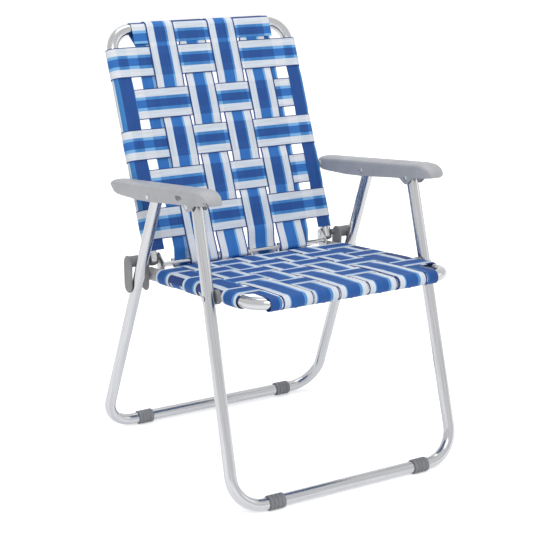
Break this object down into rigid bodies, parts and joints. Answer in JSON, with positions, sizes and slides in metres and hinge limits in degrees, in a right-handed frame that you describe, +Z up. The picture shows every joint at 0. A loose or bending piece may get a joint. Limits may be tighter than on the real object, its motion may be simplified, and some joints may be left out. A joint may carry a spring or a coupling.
{
  "type": "folding webbed lawn chair",
  "caption": "Folding lawn chair with aluminium tube frames, woven flat webbing on seat and back, grey moulded armrests, foot sleeves and hinge brackets; folds flat on coupled pivots.",
  "frame": {"origin": "centre of the open chair on the floor", "axes": "+X across the chair to the right hand of a person facing it, -Y the front, +Z up"},
  "size_m": [0.5248, 0.597, 0.8116],
  "materials": {
    "tube": "satin drawn tube",
    "rivet": "bright domed rivets",
    "grey_plastic": "smooth satin moulding",
    "dark_plastic": "matte moulding",
    "foot_plastic": "matte ribbed moulding",
    "webbing": "woven plastic strap with lengthwise stripes in white, light blue and dark blue"
  },
  "bodies": {
    "front_legs": {"front_leg_frame": "tube", "front_foot_sleeve_left": "foot_plastic", "front_foot_sleeve_right": "foot_plastic", "seat_spacer_left": "dark_plastic", "seat_spacer_right": "dark_plastic", "seat_front_rivet_left": "rivet", "seat_front_rivet_right": "rivet", "arm_front_rivet_left": "rivet", "arm_front_rivet_right": "rivet"},
    "seat": {"seat_frame": "tube", "seat_rail_cap_left": "grey_plastic", "seat_rail_cap_right": "grey_plastic", "seat_strap_1": "webbing", "seat_strap_2": "webbing", "seat_strap_3": "webbing", "seat_strap_4": "webbing", "seat_strap_5": "webbing", "seat_row_1": "webbing", "seat_row_2": "webbing", "seat_row_3": "webbing", "seat_row_4": "webbing", "seat_row_5": "webbing", "seat_edge_strap_left": "webbing", "seat_edge_strap_right": "webbing"},
    "back": {"back_frame": "tube", "back_cross_rod": "tube", "back_rail_plug_left": "dark_plastic", "back_rail_plug_right": "dark_plastic", "hinge_bracket_left": "dark_plastic", "hinge_bracket_right": "dark_plastic", "hinge_inner_plate_left": "dark_plastic", "hinge_inner_plate_right": "dark_plastic", "back_rivet_left": "rivet", "back_rivet_right": "rivet", "seat_hinge_rivet_left": "rivet", "seat_hinge_rivet_right": "rivet", "back_strap_1": "webbing", "back_strap_2": "webbing", "back_strap_3": "webbing", "back_strap_4": "webbing", "back_under_strap_left": "webbing", "back_under_strap_right": "webbing", "back_row_1": "webbing", "back_row_2": "webbing", "back_row_3": "webbing", "back_row_4": "webbing", "back_row_5": "webbing", "back_edge_strap_left": "webbing", "back_edge_strap_right": "webbing", "back_top_strap": "webbing"},
    "arm_left": {"armrest_left": "grey_plastic", "arm_rear_rivet_left": "rivet", "arm_tail_rivet_left": "rivet"},
    "arm_right": {"armrest_right": "grey_plastic", "arm_rear_rivet_right": "rivet", "arm_tail_rivet_right": "rivet"},
    "rear_legs": {"rear_leg_frame": "tube", "rear_foot_sleeve_left": "foot_plastic", "rear_foot_sleeve_right": "foot_plastic"}
  },
  "joints": [
    {"name": "seat_fold", "type": "hinge", "parent": "front_legs", "child": "seat", "pos_m": [0, -0.16664, 0.3763], "axis": [1, 0, 0], "range_deg": [0, 60]},
    {"name": "arm_left_fold", "type": "hinge", "parent": "front_legs", "child": "arm_left", "pos_m": [0, -0.12409, 0.5338], "axis": [1, 0, 0], "range_deg": [0, 57.55]},
    {"name": "arm_right_fold", "type": "hinge", "parent": "front_legs", "child": "arm_right", "pos_m": [0, -0.12409, 0.5338], "axis": [1, 0, 0], "range_deg": [0, 57.55]},
    {"name": "back_fold", "type": "hinge", "parent": "seat", "child": "back", "pos_m": [0, 0.11138, 0.35178], "axis": [1, 0, 0], "range_deg": [-58.57, 0]},
    {"name": "rear_leg_fold", "type": "hinge", "parent": "arm_left", "child": "rear_legs", "pos_m": [0, 0.02141, 0.5248], "axis": [1, 0, 0], "range_deg": [-95.59, 0]}
  ],
  "couplings": [
    {"joint": "arm_left_fold", "follows": "seat_fold", "ratio": 0.959},
    {"joint": "arm_right_fold", "follows": "seat_fold", "ratio": 0.959},
    {"joint": "back_fold", "follows": "seat_fold", "ratio": -0.976},
    {"joint": "rear_leg_fold", "follows": "seat_fold", "ratio": -1.593}
  ]
}
